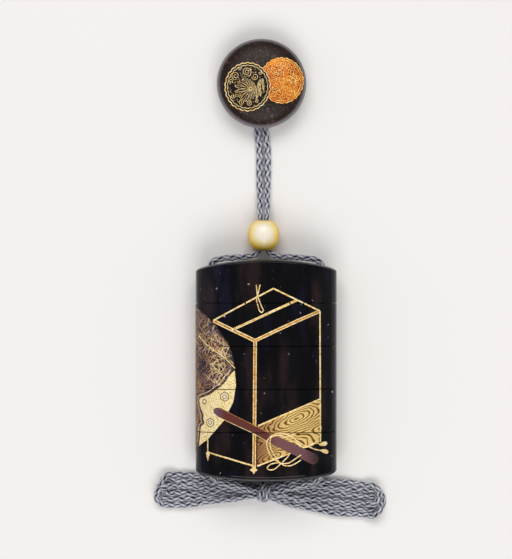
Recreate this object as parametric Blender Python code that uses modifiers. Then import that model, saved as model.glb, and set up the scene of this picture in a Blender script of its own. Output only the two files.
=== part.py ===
"""An inro: a lacquered wooden case of a lid and four tiers that nest on risers, lying on its back, with its
silk cord, the bead that slides on the cord and the round netsuke that the cord hangs from.

Metres, +Z up. The origin is the middle of the case's back, where it rests. The case's front faces up, its lid
and the netsuke lie towards +Y, and the bow of spare cord lies below its base, towards -Y.
"""

import math

import bmesh
import bpy
from mathutils import Vector

# Gap that pieces keep where the real ones touch
touch_gap = 0.0003

# Case, upright: width, depth and height over all, and how square its plan is
case_width = 0.0555
case_depth = 0.0235
case_height = 0.0866
case_squareness = 2.6
back_flat = 0.0003

# Lid, tiers and the riser that each tier pushes into the one above
lid_height = 0.0171
tier_pitch = 0.0168
tier_names = ("tier_1", "tier_2", "tier_3", "base_tier")
case_wall = 0.0015
riser_height = 0.0040
riser_wall = 0.0010
riser_clearance = touch_gap
compartment_squareness = 4.0
floor_thickness = 0.0014
end_thickness = 0.0017

# Domed ends: a crown along the width, and a rolled edge all round
lid_crown = 0.0036
lid_roll = 0.0012
base_crown = 0.0023
base_roll = 0.0019
roll_width = 0.0036

# Cord, and the channel that it runs in down each side of the case
cord_diameter = 0.0026
cord_clearance = 0.00035
channel_inset = 0.0057
channel_wall = 0.0010
channel_mouth_radius = 0.0027
channel_mouth_depth = 0.0050

# Bead, lying on its side on the cord
bead_diameter = 0.0125
bead_length = 0.0131
bead_squareness = 2.35
bead_bore_radius = 0.0025
bead_mouth_rounding = 0.0007
bead_x = -0.0010
bead_gap = 0.0029

# Netsuke, lying on its back
netsuke_diameter = 0.0354
netsuke_foot_radius = 0.0060
netsuke_rim_height = 0.0070
netsuke_thickness = 0.0142
netsuke_back_squareness = 2.2
netsuke_face_squareness = 2.7
netsuke_x = -0.0018
free_cord = 0.0358

# Bow of spare cord: its knot, and the two bundles of loops
knot_x = -0.0005
knot_drop = 0.0053
knot_length = 0.0056
knot_width = 0.0078
knot_height = 0.0116
bow_height = 0.0077
bow_lift = 0.0001
bow_left_reach = 0.0440
bow_left_neck = 0.0046
bow_left_width = 0.0148
bow_left_swell = 0.92
bow_left_turn = math.radians(178.2)
bow_right_reach = 0.0484
bow_right_neck = 0.0078
bow_right_width = 0.0142
bow_right_swell = 1.5
bow_right_turn = math.radians(-3.6)

# Facets and steps
case_facets = 64
compartment_facets = 44
bore_facets = 20
turned_facets = 40
knot_facets = 16
flank_steps = 8
end_steps = 12
curve_steps = 12
roll_steps = (0.0, 0.06, 0.22, 0.5, 1.0)
smooth_angle = math.radians(35)
rounded_angle = math.radians(60)
weld_distance = 0.000001
cap_weld_distance = 0.00001

# Points along the cord and along its tunnel: the least and the most distance between them, and the bend that
# asks for one between these
cord_spacing = (0.0018, 0.0076, math.radians(22))
tunnel_spacing = (0.0012, 0.0026, math.radians(14))

# One side of the cord, in millimetres, from where the two meet in the netsuke to the knot. Each point says
# how far it lies out to its own side, its place along the case, its height, and its thickness as a share of
# the cord's, which is less than 1 where the cord is squeezed. The points of a stretch are measured from the
# piece that it names.
MM = 0.001
route_at_netsuke_mm = (
    (0.35, 2.3, 5.2, 1.0),
    (1.5, 2.2, 5.2, 1.0),
    (3.3, 1.3, 5.2, 1.0),
    (4.8, -0.5, 5.15, 1.0),
    (5.3, -3.0, 5.0, 1.0),
    (4.9, -6.2, 4.5, 1.0),
    (3.7, -9.2, 3.6, 1.0),
    (2.3, -12.2, 2.45, 1.0),
    (1.6, -15.4, 1.7, 1.0),
    (1.47, -19.3, 1.5, 1.0),
    (1.46, -26.8, 1.45, 1.0),
    (1.48, -34.3, 1.45, 1.0),
)
route_at_bead_mm = (
    (1.5, 19.6, -4.65, 1.0),
    (1.5, 15.6, -3.6, 1.0),
    (1.45, 12.1, -1.9, 1.0),
    (1.35, 8.9, -0.5, 0.92),
    (1.12, 6.1, -0.05, 0.74),
    (1.05, 3.6, 0.0, 0.68),
    (1.05, -0.4, 0.0, 0.68),
    (1.08, -3.4, 0.0, 0.7),
    (1.3, -5.3, 0.05, 0.72),
    (2.0, -7.0, 0.3, 0.84),
    (3.6, -7.9, 0.75, 0.96),
    (6.0, -8.0, 1.5, 1.0),
)
route_at_lid_mm = (
    (-12.0, 1.35, -2.4, 1.0),
    (-8.0, 1.1, -1.1, 1.0),
    (-5.0, 0.75, -0.4, 1.0),
    (-2.9, 0.05, -0.1, 1.0),
    (-1.3, -1.2, 0.0, 1.0),
    (-0.3, -3.2, 0.0, 1.0),
    (0.0, -6.2, 0.0, 1.0),
    (0.0, -10.0, 0.0, 1.0),
)
route_at_base_mm = (
    (0.0, 10.0, 0.0, 1.0),
    (0.0, 6.2, 0.0, 1.0),
    (-0.25, 3.1, 0.0, 1.0),
    (-1.15, 0.8, -0.05, 1.0),
    (-2.8, -0.8, -0.15, 1.0),
    (-5.2, -1.6, -0.25, 1.0),
    (-9.0, -2.4, -0.55, 1.0),
    (-13.5, -3.6, -1.2, 1.0),
)
route_at_knot_mm = (
    (5.6, 0.8, 9.75, 0.95),
    (3.4, 0.6, 9.6, 0.9),
)


def new_collection(name):
    collection = bpy.data.collections.new(name)
    bpy.context.scene.collection.children.link(collection)
    return collection


def plain_material(name, colour, roughness, metallic=0.0):
    """A plain material with a Principled shader."""
    material = bpy.data.materials.new(name)
    material.use_nodes = True
    shader = material.node_tree.nodes["Principled BSDF"]
    shader.inputs["Base Color"].default_value = (*colour, 1.0)
    shader.inputs["Roughness"].default_value = roughness
    shader.inputs["Metallic"].default_value = metallic
    material.diffuse_color = (*colour, 1.0)
    return material


def add_object(name, data, collection, material=None, parent=None):
    obj = bpy.data.objects.new(name, data)
    collection.objects.link(obj)
    obj.parent = parent
    if material:
        data.materials.append(material)
    return obj


def as_cutter(obj):
    """Hides a helper from renders and draws it as wire."""
    obj.hide_render = True
    obj.display_type = "WIRE"
    return obj


def combine(obj, other, operation):
    modifier = obj.modifiers.new(operation.title() + " " + other.name, "BOOLEAN")
    modifier.operation = operation
    modifier.object = other
    modifier.solver = "EXACT"


def mesh_from(bm, name):
    mesh = bpy.data.meshes.new(name)
    bm.to_mesh(mesh)
    bm.free()
    return mesh


def shade_round(obj):
    obj.data.shade_smooth()
    obj.data.set_sharp_from_angle(angle=smooth_angle)


def on_superellipse(x, y, half_x, half_y, power):
    """The point of a squared ellipse in the direction that x, y has on the unit circle."""
    cos, sin = abs(x), abs(y)
    return (
        math.copysign(half_x * cos ** (2 / power), x),
        math.copysign(half_y * sin ** (2 / power), y),
    )


def squared_prism(name, half_x, half_y, power, low, high, facets, back_y=None):
    """A cylinder drawn out to a squared ellipse, upright, and flat at the back past back_y."""
    bm = bmesh.new()
    bmesh.ops.create_cone(bm, cap_ends=True, segments=facets, radius1=1, radius2=1, depth=1)
    for vert in bm.verts:
        x, y = on_superellipse(vert.co.x, vert.co.y, half_x, half_y, power)
        if back_y is not None:
            y = min(y, back_y)
        vert.co = Vector((x, y, high if vert.co.z > 0 else low))
    bmesh.ops.recalc_face_normals(bm, faces=bm.faces)
    return mesh_from(bm, name)


def crown_drop(x, crown):
    """How far a domed end falls away at x, by its crown."""
    return crown * (x / (case_width / 2)) ** 2


def roll_drop(inward, roll):
    """How far the rolled edge falls away, that far in from the outline."""
    share = 1 - min(inward / roll_width, 1)
    return roll * (1 - math.sqrt(1 - share * share))


def dome_end(bm, end_face, tip, out, crown, roll):
    """Draws a flat end face out into the domed end: rings that step in over the rolled edge, then strips.
    tip is the height of the crown's middle, and out is +1 on the lid and -1 on the base."""
    rim = [(loop.vert.co.x, loop.vert.co.y) for loop in end_face.loops]
    for share in roll_steps:
        inward = share * roll_width
        if share:
            grown = bmesh.ops.extrude_discrete_faces(bm, faces=[end_face])
            end_face = grown["faces"][0]
        for loop, (x, y) in zip(end_face.loops, rim):
            ring_x = x * (1 - inward / (case_width / 2))
            ring_y = y * (1 - inward / (case_depth / 2))
            drop = crown_drop(ring_x, crown) + roll_drop(inward, roll)
            loop.vert.co = Vector((ring_x, ring_y, tip - out * drop))
    # The last ring is split into strips from front to back, so that each follows the crown.
    ring = sorted((loop.vert for loop in end_face.loops), key=lambda v: (v.co.x, v.co.y))
    front = [v for v in ring if v.co.y < 0]
    back = [v for v in ring if v.co.y > 0]
    for near, far in zip(front[1:-1], back[1:-1]):
        piece = next(f for f in near.link_faces if far in f.verts)
        bmesh.utils.face_split(piece, near, far)


def case_block(name, low, high, domed):
    """A length of the case's outside, from low to high. domed is +1 for the lid, whose top is domed, -1 for the
    base, whose foot is, and 0 for a plain tier."""
    mesh = squared_prism(
        name,
        case_width / 2,
        case_depth / 2,
        case_squareness,
        low,
        high,
        case_facets,
        back_y=case_depth / 2 - back_flat,
    )
    if domed:
        bm = bmesh.new()
        bm.from_mesh(mesh)
        bm.faces.ensure_lookup_table()
        end_face = max(bm.faces, key=lambda f: domed * f.normal.z * (len(f.verts) > 4))
        if domed > 0:
            dome_end(bm, end_face, high, domed, lid_crown, lid_roll)
        else:
            dome_end(bm, end_face, low, domed, base_crown, base_roll)
        bmesh.ops.recalc_face_normals(bm, faces=bm.faces)
        bm.to_mesh(mesh)
        bm.free()
    return mesh


def compartment_prism(name, grow, low, high):
    """The compartment's outline, grown outwards by grow, as an upright prism."""
    return squared_prism(
        name,
        compartment_width / 2 + grow,
        compartment_depth / 2 + grow,
        compartment_squareness,
        low,
        high,
        compartment_facets,
    )


def upright_cone(name, x, low, high, low_radius, high_radius):
    bm = bmesh.new()
    bmesh.ops.create_cone(
        bm,
        cap_ends=True,
        segments=bore_facets,
        radius1=low_radius,
        radius2=high_radius,
        depth=high - low,
    )
    bmesh.ops.translate(bm, verts=bm.verts, vec=(x, 0, (low + high) / 2))
    return mesh_from(bm, name)


def smooth_route(points, spacing):
    """Points along a Catmull-Rom curve through the given ones, close together where it bends. Each point is
    a place and a thickness share, as a 4D vector."""
    points = [Vector(p) for p in points]
    ends = [2 * points[0] - points[1], *points, 2 * points[-1] - points[-2]]
    dense = []
    for a, b, c, d in zip(ends, ends[1:], ends[2:], ends[3:]):
        knots = [0.0]
        for p, q in ((a, b), (b, c), (c, d)):
            knots.append(knots[-1] + math.sqrt((q - p).xyz.length))
        for step in range(curve_steps):
            t = knots[1] + (knots[2] - knots[1]) * step / curve_steps
            one = a.lerp(b, (t - knots[0]) / (knots[1] - knots[0]))
            two = b.lerp(c, (t - knots[1]) / (knots[2] - knots[1]))
            three = c.lerp(d, (t - knots[2]) / (knots[3] - knots[2]))
            left = one.lerp(two, (t - knots[0]) / (knots[2] - knots[0]))
            right = two.lerp(three, (t - knots[1]) / (knots[3] - knots[1]))
            dense.append(left.lerp(right, (t - knots[1]) / (knots[2] - knots[1])))
    dense.append(points[-1])
    kept = [dense[0]]
    turned = 0.0
    for before, here, after in zip(dense, dense[1:], dense[2:]):
        turned += (here - before).xyz.angle((after - here).xyz, 0.0)
        gone = (here - kept[-1]).xyz.length
        if gone > spacing[1] or (turned > spacing[2] and gone > spacing[0]):
            kept.append(here)
            turned = 0.0
    kept.append(dense[-1])
    return kept


def tube(name, points, radius, resolution):
    """A round bar along the points, as a curve with filled caps."""
    curve = bpy.data.curves.new(name, "CURVE")
    curve.dimensions = "3D"
    curve.bevel_depth = radius
    curve.bevel_resolution = resolution
    curve.use_fill_caps = True
    spline = curve.splines.new("POLY")
    spline.points.add(len(points) - 1)
    for spot, place in zip(spline.points, points):
        spot.co = (*place.xyz, 1.0)
        spot.radius = place.w
    return curve


def curve_to_mesh(obj):
    """The curve object made a mesh object of the same name and place, with its caps welded."""
    bpy.context.view_layer.update()
    graph = bpy.context.evaluated_depsgraph_get()
    mesh = bpy.data.meshes.new_from_object(obj.evaluated_get(graph))
    bm = bmesh.new()
    bm.from_mesh(mesh)
    bmesh.ops.remove_doubles(bm, verts=bm.verts, dist=weld_distance)
    bm.to_mesh(mesh)
    bm.free()
    name = obj.name
    collection = obj.users_collection[0]
    place = obj.matrix_world.copy()
    bpy.data.objects.remove(obj)
    made = add_object(name, mesh, collection)
    made.matrix_world = place
    return made


def turned(name, profile, closed, collection, material):
    """A profile, in x and z, turned about the z axis."""
    mesh = bpy.data.meshes.new(name)
    count = len(profile)
    edges = [(i, i + 1) for i in range(count - 1)] + ([(count - 1, 0)] if closed else [])
    mesh.from_pydata([(x, 0, z) for x, z in profile], edges, [])
    obj = add_object(name, mesh, collection, material)
    screw = obj.modifiers.new("Turn", "SCREW")
    screw.steps = turned_facets
    screw.render_steps = turned_facets
    screw.use_merge_vertices = True
    screw.merge_threshold = weld_distance
    screw.use_smooth_shade = True
    return obj


def quarter(half_x, half_z, power, start, end, count):
    """Points of a squared ellipse's arc, from the start angle to the end angle."""
    angles = [start + (end - start) * i / (count - 1) for i in range(count)]
    return [on_superellipse(math.cos(a), math.sin(a), half_x, half_z, power) for a in angles]


def cord_stretch(side, origin, points_mm):
    """Points of one side of the cord, in metres, measured from the origin. side is -1 on the left, +1 on the
    right."""
    x, y, z = origin
    return [
        Vector((x + side * out * MM, y + along * MM, z + up * MM, share))
        for out, along, up, share in points_mm
    ]


def cord_side(side):
    """The whole route of the cord on one side."""
    channel = side * channel_x
    return (
        cord_stretch(side, (netsuke_x, netsuke_y, 0), route_at_netsuke_mm)
        + cord_stretch(side, (bead_x, bead_y, bead_diameter / 2), route_at_bead_mm)
        + cord_stretch(side, (channel, case_top, case_axis_height), route_at_lid_mm)
        + cord_stretch(side, (channel, case_bottom, case_axis_height), route_at_base_mm)
        + cord_stretch(side, (knot_x, knot_y, 0), route_at_knot_mm)
    )


def bow_outline(reach, neck, width, swell):
    """Outline of a bundle of loops that leaves the knot along +X: narrow at the knot, then wide, with a
    round end. swell says how soon it is wide: at 1, only where the round end starts."""
    start = knot_length / 2 + touch_gap
    end_radius = width / 2
    straight = reach - end_radius
    flank = []
    for i in range(flank_steps + 1):
        share = i / flank_steps
        widened = math.sin(min(share * swell, 1) * math.pi / 2)
        flank.append((start + (straight - start) * share, (neck + (width - neck) * widened) / 2))
    end_half = flank[-1][1]
    cap = [
        (straight + end_radius * math.sin(a), end_half * math.cos(a))
        for a in (math.pi * i / end_steps for i in range(1, end_steps))
    ]
    return flank + cap + [(x, -y) for x, y in reversed(flank)]


def bow_bundle(name, outline, turn):
    """A bundle of loops as one flat-lying solid of its outline."""
    curve = bpy.data.curves.new(name, "CURVE")
    curve.dimensions = "2D"
    curve.fill_mode = "BOTH"
    curve.extrude = bow_height / 2
    spline = curve.splines.new("POLY")
    spline.points.add(len(outline) - 1)
    for spot, (x, y) in zip(spline.points, outline):
        spot.co = (x, y, 0, 1)
    spline.use_cyclic_u = True
    obj = add_object(name, curve, parts, grey_silk)
    obj.location = (knot_x, knot_y, bow_lift + bow_height / 2)
    obj.rotation_euler = (0, 0, turn)
    weld = obj.modifiers.new("Weld caps", "WELD")
    weld.merge_threshold = cap_weld_distance
    rounded = obj.modifiers.new("Rounded edges", "BEVEL")
    rounded.width = cord_diameter / 2
    rounded.segments = 2
    rounded.angle_limit = rounded_angle


for old in list(bpy.data.objects):
    bpy.data.objects.remove(old)

# Derived sizes and places
case_top = case_height / 2
case_bottom = -case_height / 2
case_axis_height = case_depth / 2 - back_flat
channel_x = case_width / 2 - channel_inset
socket_grow = riser_wall + riser_clearance
socket_depth = riser_height + touch_gap
channel_radius = cord_diameter / 2 + cord_clearance
compartment_width = 2 * (channel_x - channel_radius - channel_wall - socket_grow)
compartment_depth = case_depth - 2 * (case_wall + socket_grow)
seams = [case_top - lid_height - tier_pitch * i for i in range(len(tier_names))]
bead_y = case_top + bead_gap + bead_length / 2
netsuke_radius = netsuke_diameter / 2
netsuke_y = bead_y + bead_length / 2 + free_cord + netsuke_radius
knot_y = case_bottom - knot_drop

parts = new_collection("inro_set")
cutters = new_collection("cutters")

black_lacquer = plain_material("black_lacquer", (0.012, 0.011, 0.015), 0.16)
brown_lacquer = plain_material("brown_black_lacquer", (0.035, 0.026, 0.024), 0.3)
cream_stone = plain_material("cream_stone", (0.87, 0.78, 0.5), 0.25)
grey_silk = plain_material("grey_silk", (0.24, 0.26, 0.31), 0.65)

# The case is modelled upright, front towards -Y, and the empty lays it on its back.
case_frame = bpy.data.objects.new("case_frame", None)
parts.objects.link(case_frame)
case_frame.location = (0, 0, case_axis_height)
case_frame.rotation_euler = (-math.pi / 2, 0, 0)

# Channels: a bore and its two widened mouths on each side
cutter_reach = 0.002
channel_cutters = []
for side, label in ((-1, "left"), (1, "right")):
    x = side * channel_x
    top_surface = case_top - crown_drop(x, lid_crown)
    bottom_surface = case_bottom + crown_drop(x, base_crown)
    bore = upright_cone(
        f"channel_{label}",
        x,
        case_bottom - cutter_reach,
        case_top + cutter_reach,
        channel_radius,
        channel_radius,
    )
    flare = channel_mouth_radius - channel_radius
    widened = channel_mouth_radius + flare * cutter_reach / channel_mouth_depth
    top_mouth = upright_cone(
        f"top_mouth_{label}",
        x,
        top_surface - channel_mouth_depth,
        top_surface + cutter_reach,
        channel_radius,
        widened,
    )
    bottom_mouth = upright_cone(
        f"bottom_mouth_{label}",
        x,
        bottom_surface - cutter_reach,
        bottom_surface + channel_mouth_depth,
        widened,
        channel_radius,
    )
    channel_cutters.append(
        {
            which: as_cutter(add_object(mesh.name, mesh, cutters, parent=case_frame))
            for which, mesh in (("bore", bore), ("top", top_mouth), ("bottom", bottom_mouth))
        }
    )


def cut_channels(obj, mouth=None):
    for cutter in channel_cutters:
        combine(obj, cutter["bore"], "DIFFERENCE")
        if mouth:
            combine(obj, cutter[mouth], "DIFFERENCE")


def cut_prism(obj, suffix, grow, low, high):
    name = obj.name + "_" + suffix
    prism = compartment_prism(name, grow, low, high)
    combine(obj, as_cutter(add_object(name, prism, cutters, parent=case_frame)), "DIFFERENCE")


# Lid: a cap whose hollow takes the first tier's riser
lid_low = seams[0] + touch_gap / 2
lid = add_object("lid", case_block("lid", lid_low, case_top, 1), parts, black_lacquer, case_frame)
lid_ceiling = case_top - crown_drop(compartment_width / 2 + socket_grow, lid_crown) - end_thickness
cut_prism(lid, "hollow", socket_grow, lid_low - cutter_reach, lid_ceiling)
cut_channels(lid, "top")
shade_round(lid)

# Tiers: each has a compartment, a floor, a riser on top and, but for the base, a socket below
for i, name in enumerate(tier_names):
    is_base = i == len(tier_names) - 1
    top = seams[i] - touch_gap / 2
    low = case_bottom if is_base else seams[i + 1] + touch_gap / 2
    tier = add_object(
        name, case_block(name, low, top, -1 if is_base else 0), parts, black_lacquer, case_frame
    )
    if is_base:
        floor_top = low + crown_drop(compartment_width / 2, base_crown) + end_thickness
    else:
        floor_top = low + socket_depth + floor_thickness
    riser = compartment_prism(name + "_riser", riser_wall, floor_top, top + riser_height)
    riser_object = as_cutter(add_object(name + "_riser", riser, cutters, parent=case_frame))
    combine(tier, riser_object, "UNION")
    cut_prism(tier, "compartment", 0.0, floor_top, top + riser_height + cutter_reach)
    if not is_base:
        cut_prism(tier, "socket", socket_grow, low - cutter_reach, low + socket_depth)
    cut_channels(tier, "bottom" if is_base else None)
    shade_round(tier)

# Bead: a bored barrel with rounded mouths, its bore along Y
bead_half = bead_diameter / 2
mouth_radius = bead_bore_radius + bead_mouth_rounding
mouth_angle = math.acos((mouth_radius / bead_half) ** (bead_squareness / 2))
outer = quarter(bead_half, bead_length / 2, bead_squareness, mouth_angle, -mouth_angle, 12)
mouth_z = outer[0][1]
rounding = [
    (
        mouth_radius - bead_mouth_rounding * math.sin(a),
        mouth_z - bead_mouth_rounding * (1 - math.cos(a)),
    )
    for a in (math.pi / 2 * i / 3 for i in range(1, 4))
]
bead_profile = outer + [(x, -z) for x, z in rounding] + list(reversed(rounding))
bead = turned("ojime_bead", bead_profile, True, parts, cream_stone)
bead.location = (bead_x, bead_y, bead_half)
bead.rotation_euler = (-math.pi / 2, 0, 0)

# Netsuke: a turned bun with a flat foot, and a tunnel for the cord through its back
face = quarter(
    netsuke_radius,
    netsuke_thickness - netsuke_rim_height,
    netsuke_face_squareness,
    math.pi / 2,
    0.0,
    11,
)
back = quarter(
    netsuke_radius - netsuke_foot_radius,
    netsuke_rim_height,
    netsuke_back_squareness,
    0.0,
    math.pi / 2,
    8,
)
netsuke_profile = (
    [(0.0, netsuke_thickness)]
    + [(x, netsuke_rim_height + z) for x, z in face[1:]]
    + [(netsuke_foot_radius + x, netsuke_rim_height - z) for x, z in back[1:]]
    + [(0.0, 0.0)]
)
netsuke = turned("netsuke", netsuke_profile, False, parts, brown_lacquer)
netsuke.location = (netsuke_x, netsuke_y, 0)

# Cord: the two sides, from where they meet in the netsuke to the knot. Each also cuts its half of the tunnel.
tunnel_end_y = netsuke_y - netsuke_radius - cord_diameter
tunnel_overlap = Vector((0.002, 0, 0, 0))
for side, label in ((-1, "left"), (1, "right")):
    route = smooth_route(cord_side(side), cord_spacing)
    add_object(f"cord_{label}", tube(f"cord_{label}", route, cord_diameter / 2, 2), parts, grey_silk)
    inside = [p for p in cord_side(side) if p.y > tunnel_end_y]
    inside = [inside[0] - side * tunnel_overlap, *inside]
    path = smooth_route(inside, tunnel_spacing)
    tunnel = tube(f"tunnel_{label}", path, cord_diameter / 2 + cord_clearance, 3)
    cutter = curve_to_mesh(add_object(f"tunnel_{label}", tunnel, cutters))
    combine(netsuke, as_cutter(cutter), "DIFFERENCE")

# Bow: the knot's wrap, and a bundle of loops to each side
bm = bmesh.new()
bmesh.ops.create_cone(bm, cap_ends=True, segments=knot_facets, radius1=0.5, radius2=0.5, depth=1)
bmesh.ops.scale(bm, verts=bm.verts, vec=(knot_height, knot_width, knot_length))
knot_mesh = mesh_from(bm, "bow_knot")
knot = add_object("bow_knot", knot_mesh, parts, grey_silk)
knot.location = (knot_x, knot_y, knot_height / 2 + bow_lift)
knot.rotation_euler = (0, math.pi / 2, 0)
rounded = knot.modifiers.new("Rounded ends", "BEVEL")
rounded.width = cord_diameter / 3
rounded.segments = 2
rounded.angle_limit = rounded_angle
shade_round(knot)
left_outline = bow_outline(bow_left_reach, bow_left_neck, bow_left_width, bow_left_swell)
right_outline = bow_outline(bow_right_reach, bow_right_neck, bow_right_width, bow_right_swell)
bow_bundle("bow_left", left_outline, bow_left_turn)
bow_bundle("bow_right", right_outline, bow_right_turn)
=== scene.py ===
import math

import bmesh
import bpy
import numpy as np
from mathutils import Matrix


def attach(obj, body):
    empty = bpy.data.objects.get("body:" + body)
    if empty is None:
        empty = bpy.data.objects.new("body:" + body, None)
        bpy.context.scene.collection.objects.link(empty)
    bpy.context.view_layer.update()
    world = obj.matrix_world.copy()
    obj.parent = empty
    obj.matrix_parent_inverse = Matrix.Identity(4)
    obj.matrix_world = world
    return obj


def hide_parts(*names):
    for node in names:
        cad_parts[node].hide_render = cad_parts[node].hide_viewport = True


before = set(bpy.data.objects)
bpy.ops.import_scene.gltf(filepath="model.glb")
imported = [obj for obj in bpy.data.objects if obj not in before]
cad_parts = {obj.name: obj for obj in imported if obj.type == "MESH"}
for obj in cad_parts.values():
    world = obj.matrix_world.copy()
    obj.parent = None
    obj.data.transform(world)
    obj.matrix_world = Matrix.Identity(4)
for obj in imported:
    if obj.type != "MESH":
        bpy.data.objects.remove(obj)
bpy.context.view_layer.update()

# Table top, lights and camera
# The inro lies on a sheet of pale matt board. Broad soft boxes stand around it and the camera looks straight
# down, so that the polished front mirrors only the dim ceiling.
MM = 0.001
table_size = 4.0
table_drop = 0.05 * MM


def deselect():
    if bpy.context.mode != "OBJECT":
        bpy.ops.object.mode_set(mode="OBJECT")
    bpy.ops.object.select_all(action="DESELECT")


def select_only(piece):
    deselect()
    bpy.context.view_layer.objects.active = piece
    piece.select_set(True)


def colour(code):
    """An sRGB hex code as a linear colour."""
    parts = [int(code[i : i + 2], 16) / 255 for i in (1, 3, 5)]
    return (*[c / 12.92 if c <= 0.04045 else ((c + 0.055) / 1.055) ** 2.4 for c in parts], 1.0)


def finish_material(name, **sockets):
    """A new material with sockets of its shader set. A hex code stands for its colour."""
    made = bpy.data.materials.new(name)
    made.use_nodes = True
    for key, value in sockets.items():
        socket = made.node_tree.nodes["Principled BSDF"].inputs[key.replace("_", " ")]
        socket.default_value = colour(value) if isinstance(value, str) else value
    return made


def add_node(material, kind, inputs={}, stops=(), to=None, **settings):
    """Adds a node to a material, with its settings. Each input is a value, an output socket or a node, which
    stands for the first output it has in use. stops are a ramp's, and to is the shader's socket it feeds."""

    def output_of(source):
        return next(socket for socket in source.outputs if socket.enabled)

    tree = material.node_tree
    node = tree.nodes.new("ShaderNode" + kind)
    for key, value in settings.items():
        setattr(node, key, value)
    for key, value in inputs.items():
        if isinstance(value, bpy.types.Node):
            value = output_of(value)
        if isinstance(value, bpy.types.NodeSocket):
            tree.links.new(value, node.inputs[key])
        else:
            node.inputs[key].default_value = value
    for i, (place, shade) in enumerate(stops):
        steps = node.color_ramp.elements
        step = steps[i] if i < 2 else steps.new(place)
        step.position = place
        step.color = colour(shade)
    if to:
        tree.links.new(output_of(node), tree.nodes["Principled BSDF"].inputs[to])
    return node


deselect()
bpy.ops.mesh.primitive_plane_add(size=table_size, location=(0, 0, -table_drop))
table = bpy.context.object
table.name = "table_board"
table.data.materials.append(
    finish_material("Pale board", Base_Color="#F4F2EF", Roughness=0.9, Specular_IOR_Level=0.1)
)

# Where the view's middle falls on the table, how much its height takes in, and the level at which that holds
view_centre = (-4.0 * MM, 35.4 * MM)
view_height = 220.0 * MM
view_level = 11.5 * MM
camera_height = 0.95
lens_height = 24.0
bpy.ops.object.camera_add(location=(*view_centre, camera_height), rotation=(0, 0, 0))
camera = bpy.context.object
camera.data.sensor_fit = "VERTICAL"
camera.data.sensor_height = lens_height
camera.data.lens = lens_height * (camera_height - view_level) / view_height
camera.data.clip_start = 0.01
bpy.context.scene.camera = camera
lamp_aim = (0, 0.03, 0)


def soft_box(name, place, size, power, tint):
    bpy.ops.object.light_add(type="AREA", location=place)
    lamp = bpy.context.object
    lamp.name = name
    lamp.data.shape = "RECTANGLE"
    lamp.data.size, lamp.data.size_y = size
    lamp.data.energy = power
    lamp.data.color = colour(tint)[:3]
    direction = np.array(lamp_aim) - np.array(place)
    tilt = math.acos(-direction[2] / np.linalg.norm(direction))
    lamp.rotation_euler = (tilt, 0, math.atan2(direction[1], direction[0]) - math.pi / 2)


soft_box("upper_box", (-0.05, 0.72, 1.0), (0.9, 0.6), 6.8, "#FFFBF8")
soft_box("lower_box", (0.05, -0.66, 1.0), (0.9, 0.6), 6.8, "#FFFBF8")
soft_box("left_box", (-0.8, 0.1, 0.45), (0.4, 0.9), 0.45, "#D6DCFF")
soft_box("right_box", (0.8, 0.0, 0.4), (0.4, 0.9), 0.25, "#FFF7EE")
world = bpy.data.worlds.new("Dim studio")
world.use_nodes = True
sky = world.node_tree.nodes["Background"]
sky.inputs["Color"].default_value = colour("#DDE0E6")
sky.inputs["Strength"].default_value = 0.42
bpy.context.scene.world = world
bpy.context.scene.view_settings.view_transform = "Standard"

# Silk cord
# One length of soft braid, eight yarns of silk twist laid over and under one another round a core. It runs
# double from the netsuke through the bead, down the sides of the case, and is tied in a bow below its base.
cord_diameter = 2.6 * MM
yarns_each_way = 4
braid_pitch = 18.5 * MM
braid_radius = 0.82 * MM
braid_weave = 0.2 * MM
yarn_half_width = 0.5 * MM
yarn_half_thickness = 0.31 * MM
core_radius = 0.66 * MM
yarn_sides = 6
braid_step = braid_pitch / 36
# Hand braiding leaves the yarns a little uneven. Each strays round the core by this angle over this length,
# which grows and shifts from yarn to yarn.
yarn_stray = 0.17
stray_length = 8.3 * MM
stray_growth = 0.13
stray_shift = 2.4
filament_shift = 3.0
curve_samples = 24


def spaced(rows, step, rounding=round):
    """A line's rows set evenly along it, about a step apart, and its length. Only x, y and z measure it."""
    gone = np.concatenate([[0], np.cumsum(np.linalg.norm(np.diff(rows[:, :3], axis=0), axis=1))])
    places = np.linspace(0, gone[-1], max(int(rounding(gone[-1] / step)), 2) + 1)
    return np.stack([np.interp(places, gone, column) for column in rows.T], axis=1), gone[-1]


def smooth_line(points, step):
    """Even rows along a centripetal Catmull-Rom curve through the points' rows of x, y, z and thickness."""
    points = np.array(points, float)
    ends = np.vstack([2 * points[0] - points[1], points, 2 * points[-1] - points[-2]])
    dense = []
    for a, b, c, d in zip(ends, ends[1:], ends[2:], ends[3:]):
        one = math.sqrt(np.linalg.norm((b - a)[:3]))
        two = one + math.sqrt(np.linalg.norm((c - b)[:3]))
        three = two + math.sqrt(np.linalg.norm((d - c)[:3]))
        t = np.linspace(one, two, curve_samples, endpoint=False)[:, None]
        low = a + (b - a) * t / one
        middle = b + (c - b) * (t - one) / (two - one)
        high = c + (d - c) * (t - two) / (three - two)
        left = low + (middle - low) * t / two
        right = middle + (high - middle) * (t - one) / (three - one)
        dense.append(left + (right - left) * (t - one) / (two - one))
    return spaced(np.vstack([*dense, points[-1:]]), step)


def unit(rows):
    return rows / np.linalg.norm(rows, axis=1, keepdims=True)


def carried_frame(centre):
    """Directions across the line at each of its points, carried along it without twisting."""
    tangent = unit(np.gradient(centre, axis=0))
    first = np.cross(tangent[0], (0.0, 0.0, 1.0))
    if np.linalg.norm(first) < 0.1:
        first = np.cross(tangent[0], (0.0, 1.0, 0.0))
    across = [first / np.linalg.norm(first)]
    for direction in tangent[1:]:
        carried = across[-1] - direction * np.dot(across[-1], direction)
        across.append(carried / np.linalg.norm(carried))
    across = np.array(across)
    return across, np.cross(tangent, across)


silk = finish_material(
    "Blue-grey silk braid", Roughness=0.62, Sheen_Weight=0.25, Sheen_Roughness=0.4, Specular_IOR_Level=0.35
)
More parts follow.
